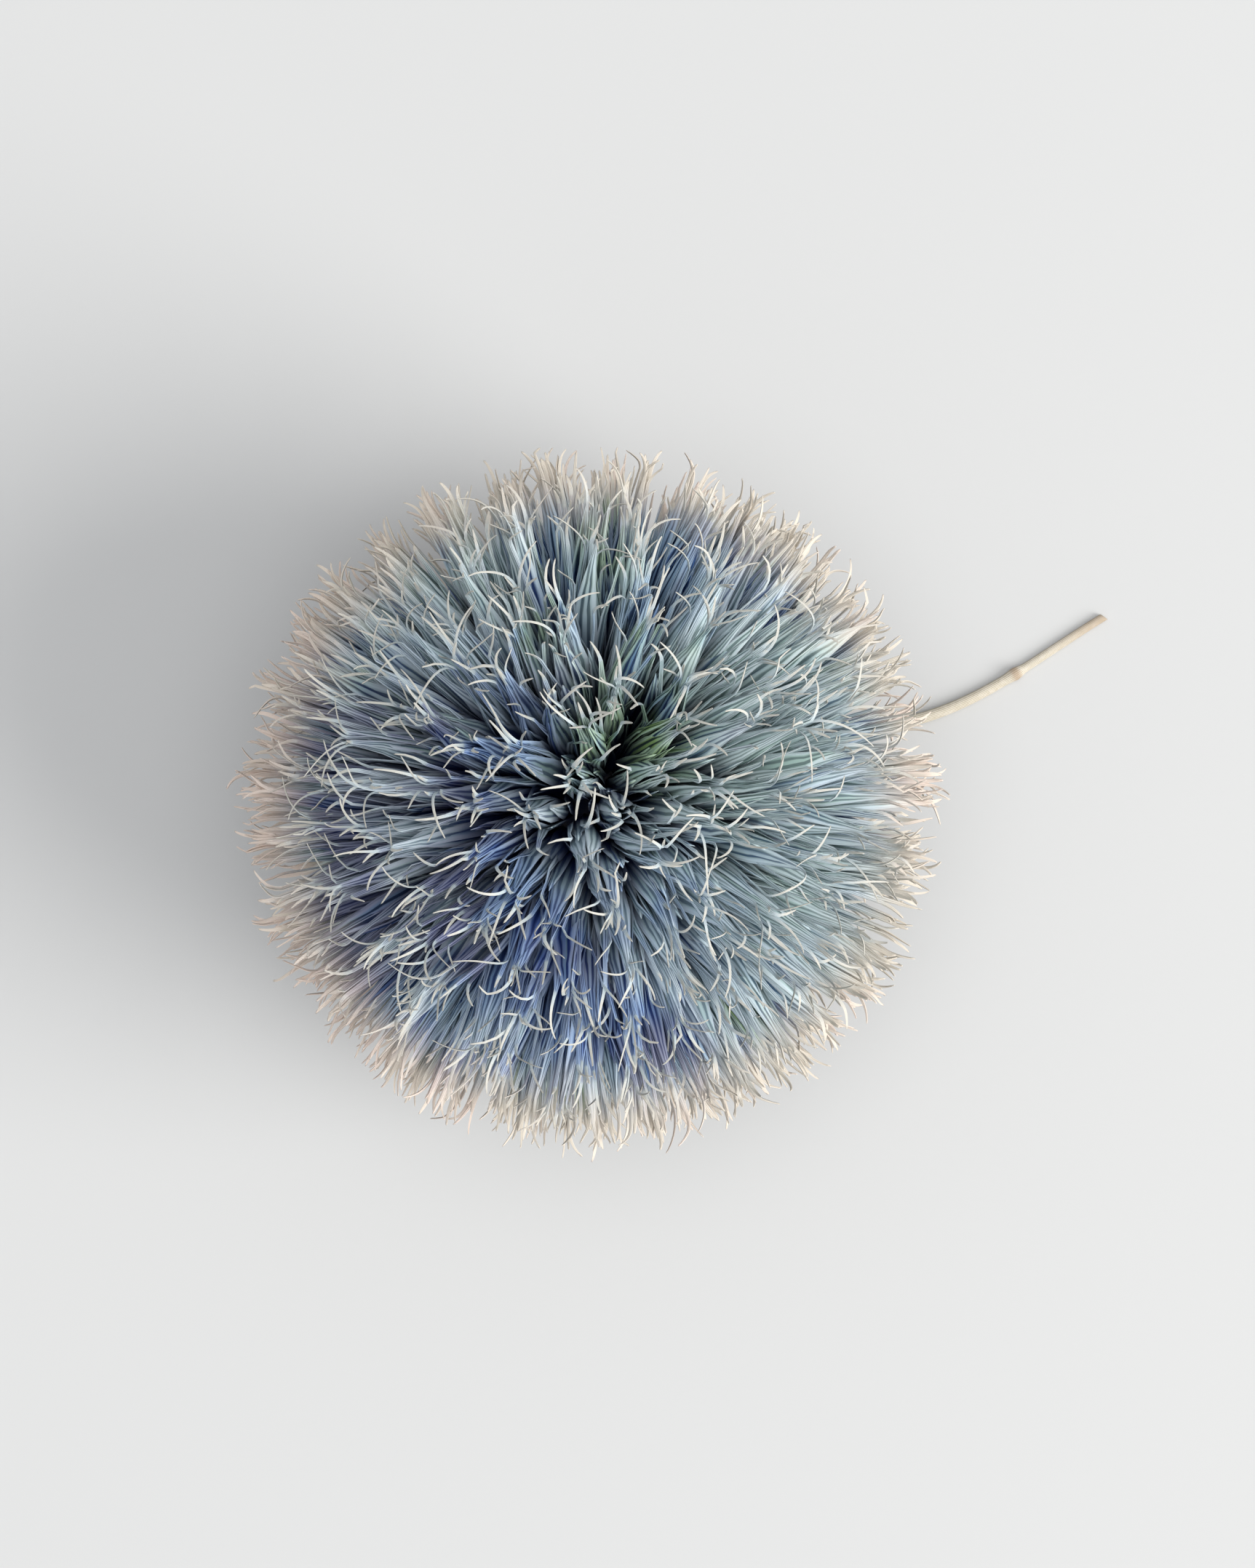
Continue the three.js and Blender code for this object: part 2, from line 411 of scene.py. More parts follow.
def bract_bodies(head, whorl, place, axis, u, v, first):
    """Every bract's line from its root to its tip, its outward direction and its half widths."""
    each = whorl.per_floret
    number = np.arange(len(place) * each)
    turn = np.tile(np.arange(each), len(place)) * 2 * math.pi / each
    turn = turn + np.repeat(chance(place, first + Draw.TURN) * 2 * math.pi, each)
    turn = turn + TURN_VARIES * either(number, first + Draw.TURN_VARIES)
    full = np.repeat(length_share(head, axis, place), each)
    bow = head.bow * (
        either(place, FloretDraw.BOW_SIDE)[:, None] * u
        + either(place, FloretDraw.BOW_ACROSS)[:, None] * v
    )
    axis, u, v, bow = (np.repeat(direction, each, axis=0) for direction in (axis, u, v, bow))
    outward = np.cos(turn)[:, None] * u + np.sin(turn)[:, None] * v
    sideways = np.cross(axis, outward)

    along = np.array(BODY_RINGS)[None, :]
    reach = (whorl.reach + whorl.reach_varies * either(number, first + Draw.REACH)) * full
    belly = whorl.belly_out * (1 + BELLY_VARIES * either(number, first + Draw.BELLY))
    tip_out = whorl.tip_out * (1 + TIP_VARIES * either(number, first + Draw.TIP))
    out = whorl.root_out + (belly[:, None] - whorl.root_out) * smooth(0, BELLY_AT, along)
    out = out + (tip_out[:, None] - belly[:, None]) * smooth(BELLY_AT, 1, along)
    far = head.root + (reach[:, None] - head.root) * along
    stray = (whorl.stray * either(number, first + Draw.STRAY))[:, None] * along ** 2
    sway = whorl.sway * either(number, first + Draw.SWAY)[:, None] * np.sin(2 * math.pi * along)
    paths = (
        CENTRE
        + far[..., None] * axis[:, None]
        + out[..., None] * outward[:, None]
        + stray[..., None] * sideways[:, None]
        + sway[..., None] * sideways[:, None]
        + (along ** 3)[..., None] * bow[:, None]
    )
    wide = whorl.half_width * (1 + WIDTH_VARIES * either(number, first + Draw.WIDTH))
    fullest = (whorl.widest * (1 + WIDEST_VARIES * either(number, first + Draw.WIDEST)))[:, None]
    half_width = wide[:, None] * np.maximum(np.sin(math.pi * along ** fullest), ROOT_WIDTH * (1 - along))
    keel = np.maximum(np.sin(math.pi * along ** KEEL_FULLEST), KEEL_LEAST)
    half_depth = whorl.half_depth * keel * np.ones((len(number), 1))
    return number, full, outward, sideways, paths, half_width, half_depth


def awn_threads(whorl, number, full, openness, curl, outward, sideways, bodies, first):
    """Threads from the bracts' tips: each leans out, bends, swirls and may have one sharp kink."""
    steps = whorl.awn_steps
    reach = whorl.awn_length * (1 + whorl.awn_varies * either(number, first + Draw.AWN_LENGTH)) * full
    reach = reach * (STRAIGHT_LENGTH + (1 - STRAIGHT_LENGTH) * curl)
    longer = chance(number, first + Draw.AWN_LONGER) > AWN_LONGER_ABOVE
    reach = reach * np.where(longer, AWN_LONGER, 1.0)
    stub = chance(number, first + Draw.AWN_STUB) < whorl.awn_stubs
    reach = reach * np.where(stub, AWN_STUB, 1.0)
    leaning = LEAN_LEAST + (1 - LEAN_LEAST) * chance(number, first + Draw.AWN_LEAN)
    lean = whorl.awn_lean * leaning * openness * (STRAIGHT_LEAN + (1 - STRAIGHT_LEAN) * curl)
    bend = whorl.awn_bend * (chance(number, first + Draw.AWN_BEND) * (1 + BEND_BACK) - BEND_BACK) * curl
    swirl = whorl.awn_swirl * either(number, first + Draw.AWN_SWIRL)
    kinked = chance(number, first + Draw.AWN_KINKED) > AWN_KINKED_ABOVE
    kink_at = np.floor(chance(number, first + Draw.AWN_KINK_AT) * (steps - 2)) + 1
    kink = np.where(kinked, AWN_KINK * either(number, first + Draw.AWN_KINK), 0)
    twist = np.where(kinked, AWN_TWIST * either(number, first + Draw.AWN_TWIST), 0)
    ahead = unit(bodies[:, -1] - bodies[:, -2])
    points = [bodies[:, -1]]
    for k in range(steps):
        part = (k + 1) / steps
        past_kink = k >= kink_at
        theta = lean * smooth(*LEAN_GROWS, part) + bend * part ** AWN_BEND_POWER
        theta = theta + np.where(past_kink, kink, 0)
        psi = swirl * part + np.where(past_kink, twist, 0)
        aside = np.cos(psi)[:, None] * outward + np.sin(psi)[:, None] * sideways
        heading = unit(np.cos(theta)[:, None] * ahead + np.sin(theta)[:, None] * aside)
        stretch = reach / (steps - 1) if k < steps - 1 else np.full_like(reach, AWN_BLUNT_END)
        points.append(points[-1] + heading * stretch[:, None])
    thick = whorl.awn_half * (STRAIGHT_THICKNESS + (1 - STRAIGHT_THICKNESS) * curl)
    thin = np.linspace(1, whorl.awn_end, steps)[None, :] * thick[:, None]
    return np.stack(points[1:], axis=1), thin


def grow_whorl(name, head, whorl, first):
    """One whorl of bracts on every floret, as one piece."""
    place, axis, u, v = floret_axes(head)
    number, full, outward, sideways, paths, half_width, half_depth = bract_bodies(
        head, whorl, place, axis, u, v, first
    )
    alongs = list(BODY_RINGS)
    if whorl.awn_steps:
        each = whorl.per_floret
        openness = np.repeat(OPEN_LEAST + OPEN_MORE * chance(place, FloretDraw.OPEN), each)
        curl = np.repeat(1 - STRAIGHTER_ASIDE * smooth(*SIDES_BEGIN, degrees_from_top(axis)), each)
        threads, thin = awn_threads(whorl, number, full, openness, curl, outward, sideways, paths, first)
        half_width[:, -1] = whorl.awn_half * AWN_ROOT
        half_depth[:, -1] = whorl.awn_half * AWN_ROOT
        paths = hold_in(np.concatenate((paths, threads), axis=1))
        half_width = np.concatenate((half_width, thin), axis=1)
        half_depth = np.concatenate((half_depth, thin), axis=1)
        alongs += [1 + (k + 1) / whorl.awn_steps for k in range(whorl.awn_steps)]
    blade = blade_copies(name, BRACT_SIDES, alongs, len(number))
    bend_along(blade, len(number), paths, -sideways, half_width, half_depth, INNER_FACE)
    press_down(blade)
    of_floret = chance(np.repeat(place, whorl.per_floret), FloretDraw.TINT)
    tint = (of_floret + chance(number, first + Draw.TINT)) / 2
    pale = whorl.pale + whorl.pale_varies * either(number, first + Draw.PALE)
    paint(blade, len(number), tint=tint, tone=chance(number, first + Draw.TONE), pale=pale)
    return blade


# ---------------- shader nodes

def node(tree, kind, inputs=None, **settings):
    """Adds a shader node. An input is given as a value or as the socket that feeds it."""
    made = tree.nodes.new("ShaderNode" + kind)
    for name, value in settings.items():
        setattr(made, name, value)
    for name, value in (inputs or {}).items():
        feed(tree, made.inputs[name], value)
    return made


def feed(tree, socket, value):
    if isinstance(value, bpy.types.NodeSocket):
        tree.links.new(value, socket)
    else:
        socket.default_value = value


def maths(tree, operation, *values):
    return node(tree, "Math", dict(enumerate(values)), operation=operation).outputs[0]


def fade(tree, value, low, high, start=0.0, end=1.0):
    """A number that goes smoothly from start to end as the value goes from low to high."""
    inputs = {"Value": value, "From Min": low, "From Max": high, "To Min": start, "To Max": end}
    return node(tree, "MapRange", inputs, interpolation_type="SMOOTHSTEP").outputs["Result"]


def mixed(tree, amount, first, second):
    """The first colour, turned into the second by the amount."""
    made = node(tree, "Mix", {0: amount}, data_type="RGBA")
    for socket, value in ((made.inputs[6], first), (made.inputs[7], second)):
        feed(tree, socket, value if isinstance(value, bpy.types.NodeSocket) else (*value, 1))
    return made.outputs[2]


def noise(tree, place, fineness, detail, roughness):
    inputs = {"Vector": place, "Scale": fineness, "Detail": detail, "Roughness": roughness}
    return node(tree, "TexNoise", inputs).outputs[0]


def new_group(name, inputs, outputs):
    """A shader node group with the given number sockets, inputs with their defaults."""
    group = bpy.data.node_groups.new(name, "ShaderNodeTree")
    for socket, default in inputs.items():
        made = group.interface.new_socket(socket, in_out="INPUT", socket_type="NodeSocketFloat")
        made.default_value = default
    for socket in outputs:
        group.interface.new_socket(socket, in_out="OUTPUT", socket_type="NodeSocketFloat")
    return group, group.nodes.new("NodeGroupInput").outputs, group.nodes.new("NodeGroupOutput").inputs


def new_material(name):
    """A material, its node tree and its shader."""
    material = bpy.data.materials.new(name)
    material.use_nodes = True
    return material, material.node_tree, material.node_tree.nodes["Principled BSDF"]


def finish_surface(tree, shader, surface, roughness, height, strength, distance):
    """Joins a surface's colour, roughness and height to its shader."""
    feed(tree, shader.inputs["Base Color"], surface)
    feed(tree, shader.inputs["Roughness"], roughness)
    bump = node(tree, "Bump", {"Height": height, "Strength": strength, "Distance": distance})
    feed(tree, shader.inputs["Normal"], bump.outputs[0])


def blade_uv(tree):
    """Across and along a blade or the stem."""
    place = node(tree, "UVMap", uv_map="UVMap").outputs[0]
    parts = node(tree, "SeparateXYZ", {0: place}).outputs
    return parts["X"], parts["Y"]


def own_place(tree):
    return node(tree, "TexCoord").outputs["Object"]


def painted(tree, name):
    return node(tree, "Attribute", attribute_name=name).outputs["Fac"]


# ---------------- shared effects

# Ribs: how fine the streaks are across, along and from blade to blade, what makes a rib, and where it
# rises. The margin is given from the blade's middle line, of its width
STREAK_ACROSS = 2.2
STREAK_ALONG = 1.6
STREAK_APART = 37.0
RIB_FROM_WAVE = 0.5
RIB_FROM_STREAK = 0.7
RIB_RISES = (0.4, 0.72)
MARGIN = (0.26, 0.37)


def ribs_group():
    """Fine ribs that run the length of a blade, as a mask from 0 in the furrows to 1 on the ribs."""
    name = "Blade ribs"
    if name in bpy.data.node_groups:
        return bpy.data.node_groups[name]
    inputs = {"Across": 0.5, "Along": 0.5, "Ribs": 3.0, "Shift": 0.0}
    group, given, result = new_group(name, inputs, ("Mask", "Margin", "Streak"))
    across = maths(group, "MULTIPLY", given["Across"], given["Ribs"])
    stretched = {
        "X": maths(group, "MULTIPLY", across, STREAK_ACROSS),
        "Y": maths(group, "MULTIPLY", given["Along"], STREAK_ALONG),
        "Z": maths(group, "MULTIPLY", given["Shift"], STREAK_APART),
    }
    place = node(group, "CombineXYZ", stretched).outputs[0]
    streak = noise(group, place, fineness=1.0, detail=3.0, roughness=0.65)
    wave = maths(group, "COSINE", maths(group, "MULTIPLY", across, 2 * math.pi))
    wave = maths(group, "MULTIPLY_ADD", wave, -0.5, 0.5)
    by_wave = maths(group, "MULTIPLY", wave, RIB_FROM_WAVE)
    both = maths(group, "ADD", by_wave, maths(group, "MULTIPLY", streak, RIB_FROM_STREAK))
    from_middle = maths(group, "ABSOLUTE", maths(group, "SUBTRACT", given["Across"], 0.5))
    feed(group, result["Mask"], fade(group, both, *RIB_RISES))
    feed(group, result["Margin"], fade(group, from_middle, *MARGIN))
    feed(group, result["Streak"], streak)
    return group


def towards(from_top, azimuth):
    """A direction by its angle from straight up and its heading round from +X, in degrees."""
    tilt, turn = math.radians(from_top), math.radians(azimuth)
    return (math.sin(tilt) * math.cos(turn), math.sin(tilt) * math.sin(turn), math.cos(tilt))


# Where on the head each hue is, and how wide it reaches there, in degrees
# The violet patches also paint shade on the left side, the pale ones paint light on the right side, and the
# rosy one is a painted warm reflection
HUE_PATCHES = {
    "Green": ((towards(16, 45), 30), (towards(46, 5), 44), (towards(50, 132), 34)),
    "Blue": ((towards(34, 262), 52), (towards(30, 150), 26)),
    "Violet": ((towards(56, 188), 44), (towards(46, 215), 20)),
    "Pale": ((towards(54, 345), 56), (towards(60, 25), 40), (towards(64, 130), 30)),
    "Warm bounce": ((towards(80, 195), 75),),
}
PATCH_FINENESS = 120.0
PATCH_STEP = 0.31
PATCH_SHIFT = (0.17, 0.53)
PATCH_STRENGTH = 0.32
PATCH_RISES = (0.46, 0.7)


def patches_group():
    """Soft patches over the whole head, of hue and of painted shade, painted light and a painted warm
    reflection: one mask each, thicker towards its own directions.
    """
    group, _, result = new_group("Hue patches", {}, ("Height", *HUE_PATCHES))
    place = own_place(group)
    out = node(group, "VectorMath", {0: place, 1: tuple(CENTRE)}, operation="SUBTRACT").outputs[0]
    out = node(group, "VectorMath", {0: out}, operation="NORMALIZE").outputs[0]
    feed(group, result["Height"], node(group, "SeparateXYZ", {0: out}).outputs["Z"])
    for number, (hue, spots) in enumerate(HUE_PATCHES.items()):
        moved = {"Vector": place, "Location": (PATCH_STEP * number, *PATCH_SHIFT)}
        moved = node(group, "Mapping", moved).outputs[0]
        level = noise(group, moved, PATCH_FINENESS, detail=2.0, roughness=0.5)
        for direction, wide in spots:
            facing = node(group, "VectorMath", {0: out, 1: direction}, operation="DOT_PRODUCT")
            rim = math.cos(math.radians(wide))
            near = fade(group, facing.outputs["Value"], rim, 1.0, 0.0, PATCH_STRENGTH)
            level = maths(group, "ADD", level, near)
        feed(group, result[hue], fade(group, level, *PATCH_RISES))
    return group


# ---------------- materials

# For each hue of a bract: its patches, its colour, the most it tints, and the stripes it starts and ends in
BRACT_HUES = (
    ("Green", "green", 1.0, 0.2, 0.5),
    ("Blue", "strong_blue", 0.9, 0.75, 0.4),
    # The violet hue also paints shade on the left side of the head
    ("Violet", "violet", 0.95, 0.8, 0.4),
    # The pale green hue also paints light on the right side of the head
    ("Pale", "pale_green", 0.85, 0.1, 0.45),
)
# A painted reflection of warm bounce light on the ends of the bracts at the sides, over the rosy patch
WARM_BOUNCE_HUE = ("Warm bounce", 0.65, 0.1, 0.5)
HUE_LEAST = 0.2
LIGHT_PALE_MOST = 0.8

# Where a bract's colours change. Tones go from 0 to 1, depths are shares of the head's reach, and
# lengths are shares of the bract's, with its awn past 1
STRIPE_FROM_STREAK = 1.4
STRIPE_MIDDLE = 0.7
GREY_TONES = (0.15, 0.85)
RIB_TONES = (0.1, 0.9)
RIB_LIGHT = (0.12, 0.52)
# Painted shade in the furrows, less of it on the pale patches
FURROW_SHADE = 0.88
FURROW_SHADE_LESS_IF_PALE = 0.3
MARGIN_LIGHT = 0.9
# Painted shade in the furrows at the tips
TIP_SHADED_FURROW = 0.7
# Painted shade on the bracts low between the florets, fading out over these depths
SHADED_ROOT_DEPTHS = (0.46, 0.77)
TIP_LENGTHS = (0.8, 1.15)
TIP_LIGHT = 0.95
PALE_LENGTH = 0.55
AWN_LENGTHS = (0.96, 1.1)
AWN_FADES = (1.1, 1.5)
# Cream tips at the head's sides, painted lighter to make up for less light from above, over these heights and
# depths
ASIDE_HEIGHTS = (0.2, 0.68)
ASIDE_LIGHT = 0.95
ASIDE_DEPTHS = (0.77, 0.94)
BRACT_ROUGHNESS = (0.85, 0.65)


def hue_share(tree, patches, stripe, hue, most, low, high):
    """How much of a hue shows: its patches, stronger in some stripes than in others."""
    by_stripe = maths(tree, "MULTIPLY", fade(tree, stripe, low, high, HUE_LEAST, 1.0), most)
    return maths(tree, "MULTIPLY", patches[hue], by_stripe)


def bract_ribs(tree, colours, patches, ribs, stripe, tone):
    """The painted shade colour, and the colours of a bract's furrows, painted with that shade, of its whole
    ribbed face and of its light parts.
    """
    base = mixed(tree, fade(tree, tone, *GREY_TONES), colours.blue, colours.grey)
    for hue, colour_name, *strength in BRACT_HUES:
        shown = hue_share(tree, patches, stripe, hue, *strength)
        base = mixed(tree, shown, base, getattr(colours, colour_name))
    light = mixed(tree, patches["Green"], colours.pale, colours.light_green)
    light = mixed(tree, patches["Blue"], light, colours.light_blue)
    light = mixed(tree, patches["Violet"], light, colours.light_violet)
    light = mixed(tree, maths(tree, "MULTIPLY", patches["Pale"], LIGHT_PALE_MOST), light, colours.light_pale)
    # The painted shade colour, bluer on the blue patches
    deep = mixed(tree, patches["Blue"], colours.deep, colours.blue_gap_shade)
    # Furrows painted with the shade colour, less of it on the pale patches
    dark = maths(tree, "MULTIPLY_ADD", patches["Pale"], -FURROW_SHADE_LESS_IF_PALE, FURROW_SHADE)
    furrow = mixed(tree, dark, base, deep)
    rib = mixed(tree, fade(tree, tone, *RIB_TONES, *RIB_LIGHT), base, light)
    ribbed = mixed(tree, ribs["Mask"], furrow, rib)
    edged = mixed(tree, maths(tree, "MULTIPLY", ribs["Margin"], MARGIN_LIGHT), ribbed, light)
    return deep, furrow, edged, light


def bract_material(colours):
    """Dry ribbed bracts: painted shade at the root and in the furrows, steel blue and grey-green above, ivory
    at tip and awn.
    """
    material, tree, shader = new_material("Dry bracts")
    across, along = blade_uv(tree)
    tint, tone, pale = (painted(tree, name) for name in ("tint", "tone", "pale"))
    to_centre = {0: own_place(tree), 1: tuple(CENTRE)}
    from_centre = node(tree, "VectorMath", to_centre, operation="DISTANCE").outputs["Value"]
    depth = maths(tree, "DIVIDE", from_centre, HEAD_REACH)
    given = {"Across": across, "Along": along, "Shift": tone}
    ribs = node(tree, "Group", given, node_tree=ribs_group()).outputs
    patches = node(tree, "Group", node_tree=patches_group()).outputs
    off_middle = maths(tree, "SUBTRACT", tint, STRIPE_MIDDLE)
    stripe = maths(tree, "MULTIPLY_ADD", ribs["Streak"], STRIPE_FROM_STREAK, off_middle)
    deep, furrow, edged, light = bract_ribs(tree, colours, patches, ribs, stripe, tone)

    # Painted shade where the bracts sit low between the florets
    sunk = mixed(tree, fade(tree, depth, *SHADED_ROOT_DEPTHS), deep, edged)
    # Tips with painted shade in their furrows
    tipped = mixed(tree, ribs["Mask"], mixed(tree, TIP_SHADED_FURROW, light, furrow), light)
    reached = maths(tree, "MULTIPLY_ADD", pale, PALE_LENGTH, along)
    body = mixed(tree, fade(tree, reached, *TIP_LENGTHS, 0.0, TIP_LIGHT), sunk, tipped)
    awn = mixed(tree, fade(tree, along, *AWN_FADES), colours.awn_start, colours.awn)
    whole = mixed(tree, fade(tree, along, *AWN_LENGTHS), body, awn)
    # Cream tips at the head's sides, painted lighter to make up for less light from above, with a painted
    # warm reflection on the rosy patch
    side_tip_and_bounce = mixed(tree, hue_share(tree, patches, stripe, *WARM_BOUNCE_HUE), colours.tip, colours.warm_bounce_tip)
    aside = fade(tree, patches["Height"], *ASIDE_HEIGHTS, ASIDE_LIGHT, 0.0)
    outer = maths(tree, "MULTIPLY", aside, fade(tree, depth, *ASIDE_DEPTHS))
    surface = mixed(tree, outer, whole, side_tip_and_bounce)
    roughness = fade(tree, ribs["Mask"], 0.0, 1.0, *BRACT_ROUGHNESS)
    finish_surface(tree, shader, surface, roughness, ribs["Mask"], strength=0.6, distance=0.06 * MM)
    shader.inputs["Specular IOR Level"].default_value = 0.2
    return material


# The stem: its ribs, its felt of fine down, its stained joint and where it is browner towards its end, in
# shares of its length
STEM_RIBS = 7.0
STEM_DOWN_FINENESS = 2600.0
FELT_FROM_DOWN = 0.8
FELT_FROM_RIBS = 0.35
FELT_THICKENS = (0.3, 0.75)
STEM_ROUGHNESS = (0.75, 0.95)
JOINT_STAIN = 0.55
JOINT_STAIN_WIDE = (0.002, 0.012)
END_BROWNER = 0.45
END_BROWNER_ALONG = (0.86, 1.0)


def stem_material(colours):
    """Pale felted stem: fine furrows along it, down over them, a darker joint and a browner end."""
    material, tree, shader = new_material("Felted stem")
    across, along = blade_uv(tree)
    given = {"Across": across, "Along": along, "Ribs": STEM_RIBS}
    ribs = node(tree, "Group", given, node_tree=ribs_group()).outputs
    down = noise(tree, own_place(tree), STEM_DOWN_FINENESS, detail=4.0, roughness=0.7)
    on_ribs = maths(tree, "MULTIPLY", ribs["Mask"], FELT_FROM_RIBS)
    felt = maths(tree, "MULTIPLY_ADD", down, FELT_FROM_DOWN, on_ribs)
    body = mixed(tree, fade(tree, felt, *FELT_THICKENS), colours.stem_furrow, colours.stem)
    from_joint = maths(tree, "ABSOLUTE", maths(tree, "SUBTRACT", along, STEM_JOINT_AT))
    jointed = mixed(tree, fade(tree, from_joint, *JOINT_STAIN_WIDE, JOINT_STAIN, 0.0), body, colours.stem_end)
    surface = mixed(tree, fade(tree, along, *END_BROWNER_ALONG, 0.0, END_BROWNER), jointed, colours.stem_end)
    roughness = fade(tree, felt, 0.2, 0.9, *STEM_ROUGHNESS)
    finish_surface(tree, shader, surface, roughness, felt, strength=0.5, distance=0.05 * MM)
    shader.inputs["Specular IOR Level"].default_value = 0.25
    return material


def pith_material(colours):
    """Dry pith of the receptacle: painted dark with the shade colour of the gaps between the florets, with
    paler fibres and rough grain.
    """
    material, tree, shader = new_material("Pith")
    grain = noise(tree, own_place(tree), fineness=900.0, detail=4.0, roughness=0.7)
    fibres = fade(tree, grain, 0.4, 0.75, start=0.0, end=0.6)
    # Painted shade, with paler fibres through it
    surface = mixed(tree, fibres, colours.deep, colours.pith)
    roughness = fade(tree, grain, 0.3, 0.8, start=0.95, end=0.8)
    finish_surface(tree, shader, surface, roughness, grain, strength=0.5, distance=0.08 * MM)
    return material


def floor_material(colours):
    """Plain pale matt surface."""
    material, _, shader = new_material("Floor")
    shader.inputs["Base Color"].default_value = (*colours.floor, 1)
    shader.inputs["Roughness"].default_value = 0.9
    return material


# ---------------- settings

def length(name, description, millimetres):
    return FloatProperty(
        name=name, description=description, default=millimetres * MM, unit="LENGTH", precision=5
    )


def share(name, description, default):
    return FloatProperty(name=name, description=description, default=default, subtype="FACTOR")


def angle(name, description, default=0.0):
    return FloatProperty(name=name, description=description, default=default, subtype="ANGLE")


def count(name, description, default):
    return IntProperty(name=name, description=description, default=default)


def power(name, description, watts):
    return FloatProperty(name=name, description=description, default=watts, unit="POWER")


def spot(name, description, *millimetres):
    place = [distance * MM for distance in millimetres]
    return FloatVectorProperty(
        name=name, description=description, default=place, size=3, subtype="TRANSLATION", unit="LENGTH"
    )


def colour(name, description, red, green, blue):
    """A colour given as the screen shows it, from 0 to 255, and kept as light."""
    screen = [channel / 255 for channel in (red, green, blue)]
    light = [c / 12.92 if c <= 0.04045 else ((c + 0.055) / 1.055) ** 2.4 for c in screen]
    return FloatVectorProperty(
        name=name, description=description, default=light, size=3, subtype="COLOR", min=0, max=1
    )


class ThistleHead(bpy.types.PropertyGroup):
    """What all whorls share."""

    florets: count("Florets", "Places on the spiral of florets", 400)
    bare: count("Bare places", "Places nearest the stem with no floret", 2)
    wander: share("Wander", "How far a floret stands off its place, of the spacing", 0.15)
    uneven: share("Uneven", "How much floret lengths differ, either way", 0.03)
    bow: length("Bow", "How far a floret's tip bends aside, either way", 0.8)
    shortest: share("Shortest", "Length of the florets next to the stem, of the full length", 0.72)
    fuller: share("Fuller", "How much longer the florets at the sides are", 0.035)
    root: length("Root", "Centre of the head to the roots of the bracts", 6.5)
    pith: length("Receptacle", "Radius of the ball that the florets grow from", 8.2)
    pit: length("Pit", "Depth of the pit that each floret sits in", 0.45)


class WhorlWords:
    """Names and descriptions of the settings that whorls share."""

    REACH = ("Reach", "Centre of the head to the tips of the bracts")
    REACH_VARIES = ("Reach varies", "How much the reach differs, either way")
    BELLY_OUT = ("Belly out", "Floret's line to the bract, where it swells")
    TIP_OUT = ("Tip out", "Floret's line to the bract's tip")
    HALF_WIDTH = ("Half width", "Half the bract's width")
    HALF_DEPTH = ("Half depth", "Height of the bract's keel")
    WIDEST = ("Widest", "Below 1 puts the widest place lower, above 1 higher")
    PALE = ("Pale", "How far down the bracts their pale tips reach")
    PALE_VARIES = ("Pale varies", "How much that differs, either way")
    AWN_STEPS = ("Awn steps", "Stretches of an awn, or 0 for none")
    AWN_LENGTH = ("Awn length", "Length of an awn")
    AWN_VARIES = ("Awn varies", "How much awn lengths differ, either way")
    AWN_LEAN = ("Awn lean", "Most that an awn leans out")
    AWN_BEND = ("Awn bend", "Most that an awn bends")


class ThistleWhorl:
    """What every whorl is described by, with the outer whorl's values."""

    per_floret: count("Bracts", "Bracts in the whorl of one floret", 4)
    pale: share(*WhorlWords.PALE, 0.0)
    pale_varies: share(*WhorlWords.PALE_VARIES, 0.15)
    reach: length(*WhorlWords.REACH, 16.6)
    reach_varies: length(*WhorlWords.REACH_VARIES, 1.6)
    root_out: length("Root out", "Floret's line to the bract, at the root", 0.3)
    belly_out: length(*WhorlWords.BELLY_OUT, 1.05)
    tip_out: length(*WhorlWords.TIP_OUT, 1.1)
    stray: length("Stray", "How far the tip stands to one side, either way", 0.5)
    sway: length("Sway", "How far the bract winds from side to side, either way", 0.12)
    half_width: length(*WhorlWords.HALF_WIDTH, 0.72)
    half_depth: length(*WhorlWords.HALF_DEPTH, 0.2)
    widest: share(*WhorlWords.WIDEST, 0.95)
    awn_steps: count(*WhorlWords.AWN_STEPS, 0)
    awn_length: length(*WhorlWords.AWN_LENGTH, 0)
    awn_varies: share(*WhorlWords.AWN_VARIES, 0)
    awn_stubs: share("Awn stubs", "Share of the awns that are short", 0.2)
    awn_lean: angle(*WhorlWords.AWN_LEAN)
    awn_bend: angle(*WhorlWords.AWN_BEND)
    awn_swirl: angle("Awn swirl", "Most that an awn turns aside", 1.3)
    awn_half: length("Awn half width", "Half an awn's thickness", 0.106)
    awn_end: share("Awn end", "Thickness at the end of an awn, of that at its start", 0.36)


class ThistleOuterWhorl(ThistleWhorl, bpy.types.PropertyGroup):
    """Short pointed bracts round each floret."""


class ThistleTipWhorl(ThistleWhorl, bpy.types.PropertyGroup):
    """Slender bracts with long pale points."""

    pale: share(*WhorlWords.PALE, 0.6)
    pale_varies: share(*WhorlWords.PALE_VARIES, 0.4)
    reach: length(*WhorlWords.REACH, 19.4)
    reach_varies: length(*WhorlWords.REACH_VARIES, 1.1)
    belly_out: length(*WhorlWords.BELLY_OUT, 0.95)
    tip_out: length(*WhorlWords.TIP_OUT, 1.25)
    stray: length("Stray", "How far the tip stands to one side, either way", 1.2)
    half_width: length(*WhorlWords.HALF_WIDTH, 0.42)
    widest: share(*WhorlWords.WIDEST, 0.7)
    awn_steps: count(*WhorlWords.AWN_STEPS, 5)
    awn_length: length(*WhorlWords.AWN_LENGTH, 2.0)
    awn_varies: share(*WhorlWords.AWN_VARIES, 0.35)
    awn_lean: angle(*WhorlWords.AWN_LEAN, 1.0)
    awn_bend: angle(*WhorlWords.AWN_BEND, 0.9)


